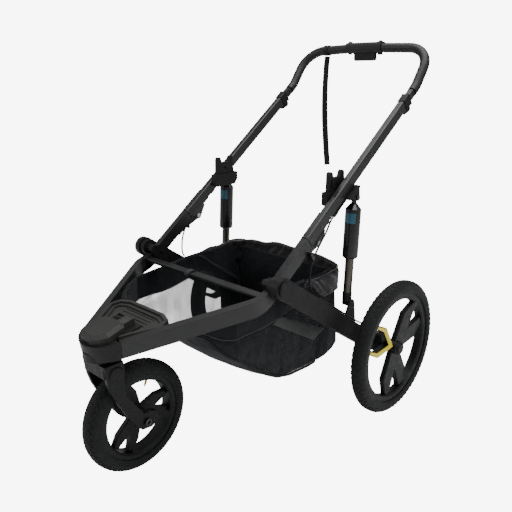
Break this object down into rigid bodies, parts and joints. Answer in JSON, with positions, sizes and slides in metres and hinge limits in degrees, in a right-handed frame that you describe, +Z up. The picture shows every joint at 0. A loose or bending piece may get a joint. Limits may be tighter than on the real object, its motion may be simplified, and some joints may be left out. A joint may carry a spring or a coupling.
{
  "type": "jogging stroller",
  "caption": "Three-wheeled jogging stroller chassis with a folding tubular frame, sprung rear arms, a swivelling front fork and an open storage basket.",
  "frame": {"origin": "on the floor, in the middle of the object seen from above", "axes": "+Z up; the front points along -Y; +X is the left side of the stroller; X is its width and Y its length"},
  "size_m": [0.7262, 1.1454, 1.0625],
  "materials": {
    "rail_paint": "satin black anodised look",
    "black_plastic": "fine grained matte",
    "nose_plastic": "grey-black grained matte",
    "wheel_plastic": "semi matte glass-filled nylon",
    "tyre_rubber": "ribbed black",
    "grip_leather": "stitched synthetic leather",
    "basket_fabric": "woven polyester and mesh",
    "strap_webbing": "woven webbing",
    "yellow_plastic": "glossy yellow",
    "teal_plastic": "translucent-looking teal",
    "steel": "brushed",
    "rod_metal": "dark warm grey anodised",
    "dark_steel": "black zinc",
    "brass": "bare",
    "cable_sheath": "smooth sheath"
  },
  "bodies": {
    "lower_frame": {"left_lower_rail": "rail_paint", "right_lower_rail": "rail_paint", "nose_housing": "nose_plastic", "steering_bearings": "steel", "nose_cap": "nose_plastic", "footrest": "nose_plastic", "cross_bar": "rail_paint", "pivot_brackets": "black_plastic", "bracket_screws": "dark_steel", "pivot_pins": "dark_steel", "basket": "basket_fabric", "brake_cables": "cable_sheath"},
    "swivel_lock": {"swivel_lock": "black_plastic"},
    "upper_frame": {"left_upper_rail": "rail_paint", "right_upper_rail": "rail_paint", "hinge_knuckles": "rail_paint", "fold_pins": "dark_steel", "strut_brackets": "black_plastic", "strut_pins": "dark_steel", "adapter_sockets": "black_plastic", "seat_adapters": "black_plastic", "rail_rivets": "dark_steel", "top_collars": "black_plastic"},
    "handlebar": {"handlebar_tube": "rail_paint", "grips": "grip_leather", "handle_housing": "black_plastic", "wrist_strap": "strap_webbing"},
    "brake_lever": {"brake_lever": "black_plastic"},
    "lever_lock": {"lever_lock": "black_plastic"},
    "fork": {"fork": "black_plastic", "front_axle": "dark_steel"},
    "front_wheel": {"front_tyre": "tyre_rubber", "front_rim": "wheel_plastic", "front_valve": "brass"},
    "left_pivot_bush": {"left_pivot_bush": "steel"},
    "left_rear_arm": {"left_rear_arm": "black_plastic", "left_axle": "steel", "left_arm_cable": "cable_sheath"},
    "left_rear_wheel": {"left_tyre": "tyre_rubber", "left_rim": "wheel_plastic", "left_bezel": "yellow_plastic", "left_hub_cap": "black_plastic"},
    "left_strut_body": {"left_strut_body": "black_plastic", "left_strut_window": "teal_plastic", "left_strut_spring": "steel"},
    "left_strut_rod": {"left_strut_rod": "rod_metal", "left_strut_foot": "black_plastic"},
    "right_pivot_bush": {"right_pivot_bush": "steel"},
    "right_rear_arm": {"right_rear_arm": "black_plastic", "right_axle": "steel", "right_arm_cable": "cable_sheath"},
    "right_rear_wheel": {"right_tyre": "tyre_rubber", "right_rim": "wheel_plastic", "right_bezel": "yellow_plastic", "right_hub_cap": "black_plastic"},
    "right_strut_body": {"right_strut_body": "black_plastic", "right_strut_window": "teal_plastic", "right_strut_spring": "steel"},
    "right_strut_rod": {"right_strut_rod": "rod_metal", "right_strut_foot": "black_plastic"}
  },
  "joints": [
    {"name": "frame_fold", "type": "hinge", "parent": "lower_frame", "child": "upper_frame", "pos_m": [0, 0.00893, 0.55329], "axis": [-1, 0, 0], "range_deg": [0, 150], "deforming": ["brake_cables"]},
    {"name": "handlebar_height", "type": "slide", "parent": "upper_frame", "child": "handlebar", "axis": [0, 0.809, 0.5878], "range_m": [0, 0.07]},
    {"name": "brake_squeeze", "type": "hinge", "parent": "handlebar", "child": "brake_lever", "pos_m": [0, 0.55425, 1.0265], "axis": [1, 0, 0], "range_deg": [0, 12], "stiffness_Nm_per_rad": 1, "springref_deg": -8.59},
    {"name": "lever_lock_slide", "type": "slide", "parent": "handlebar", "child": "lever_lock", "axis": [-1, 0, 0], "range_m": [0, 0.004]},
    {"name": "swivel_lock_slide", "type": "slide", "parent": "lower_frame", "child": "swivel_lock", "axis": [0, 0.9866, 0.1633], "range_m": [0, 0.007]},
    {"name": "fork_swivel", "type": "hinge", "parent": "lower_frame", "child": "fork", "pos_m": [0, -0.50075, 0.36], "axis": [0, 0, 1], "continuous": true},
    {"name": "front_wheel_spin", "type": "hinge", "parent": "fork", "child": "front_wheel", "pos_m": [0, -0.42375, 0.149], "axis": [1, 0, 0], "continuous": true},
    {"name": "left_arm_fold", "type": "hinge", "parent": "lower_frame", "child": "left_pivot_bush", "pos_m": [0.271, -0.16975, 0.487], "axis": [-1, 0, 0], "range_deg": [0, 85.5], "deforming": ["brake_cables"]},
    {"name": "left_suspension", "type": "hinge", "parent": "left_pivot_bush", "child": "left_rear_arm", "pos_m": [0.271, -0.16975, 0.487], "axis": [1, 0, 0], "range_deg": [0, 5.5], "stiffness_Nm_per_rad": 450, "springref_deg": -6.88},
    {"name": "left_wheel_spin", "type": "hinge", "parent": "left_rear_arm", "child": "left_rear_wheel", "pos_m": [0.336, 0.25425, 0.2], "axis": [1, 0, 0], "continuous": true},
    {"name": "left_strut_swing", "type": "hinge", "parent": "upper_frame", "child": "left_strut_body", "pos_m": [0.2475, 0.15625, 0.651], "axis": [1, 0, 0], "range_deg": [0, 103.1]},
    {"name": "left_strut_stroke", "type": "slide", "parent": "left_strut_body", "child": "left_strut_rod", "axis": [0, 0.067, 0.9978], "range_m": [0, 0.0304], "deforming": ["left_strut_spring"]},
    {"name": "right_arm_fold", "type": "hinge", "parent": "lower_frame", "child": "right_pivot_bush", "pos_m": [-0.271, -0.16975, 0.487], "axis": [-1, 0, 0], "range_deg": [0, 85.5], "deforming": ["brake_cables"]},
    {"name": "right_suspension", "type": "hinge", "parent": "right_pivot_bush", "child": "right_rear_arm", "pos_m": [-0.271, -0.16975, 0.487], "axis": [1, 0, 0], "range_deg": [0, 5.5], "stiffness_Nm_per_rad": 450, "springref_deg": -6.88},
    {"name": "right_wheel_spin", "type": "hinge", "parent": "right_rear_arm", "child": "right_rear_wheel", "pos_m": [-0.336, 0.25425, 0.2], "axis": [1, 0, 0], "continuous": true},
    {"name": "right_strut_swing", "type": "hinge", "parent": "upper_frame", "child": "right_strut_body", "pos_m": [-0.2475, 0.15625, 0.651], "axis": [1, 0, 0], "range_deg": [0, 103.1]},
    {"name": "right_strut_stroke", "type": "slide", "parent": "right_strut_body", "child": "right_strut_rod", "axis": [0, 0.067, 0.9978], "range_m": [0, 0.0304], "deforming": ["right_strut_spring"]}
  ],
  "couplings": [
    {"joint": "left_arm_fold", "follows": "frame_fold", "ratio": 0.5696},
    {"joint": "left_strut_swing", "follows": "frame_fold", "ratio": 0.6865},
    {"joint": "left_strut_stroke", "follows": "left_suspension", "m_per_rad": 0.31429},
    {"joint": "right_arm_fold", "follows": "frame_fold", "ratio": 0.5696},
    {"joint": "right_strut_swing", "follows": "frame_fold", "ratio": 0.6865},
    {"joint": "right_strut_stroke", "follows": "right_suspension", "m_per_rad": 0.31429}
  ]
}
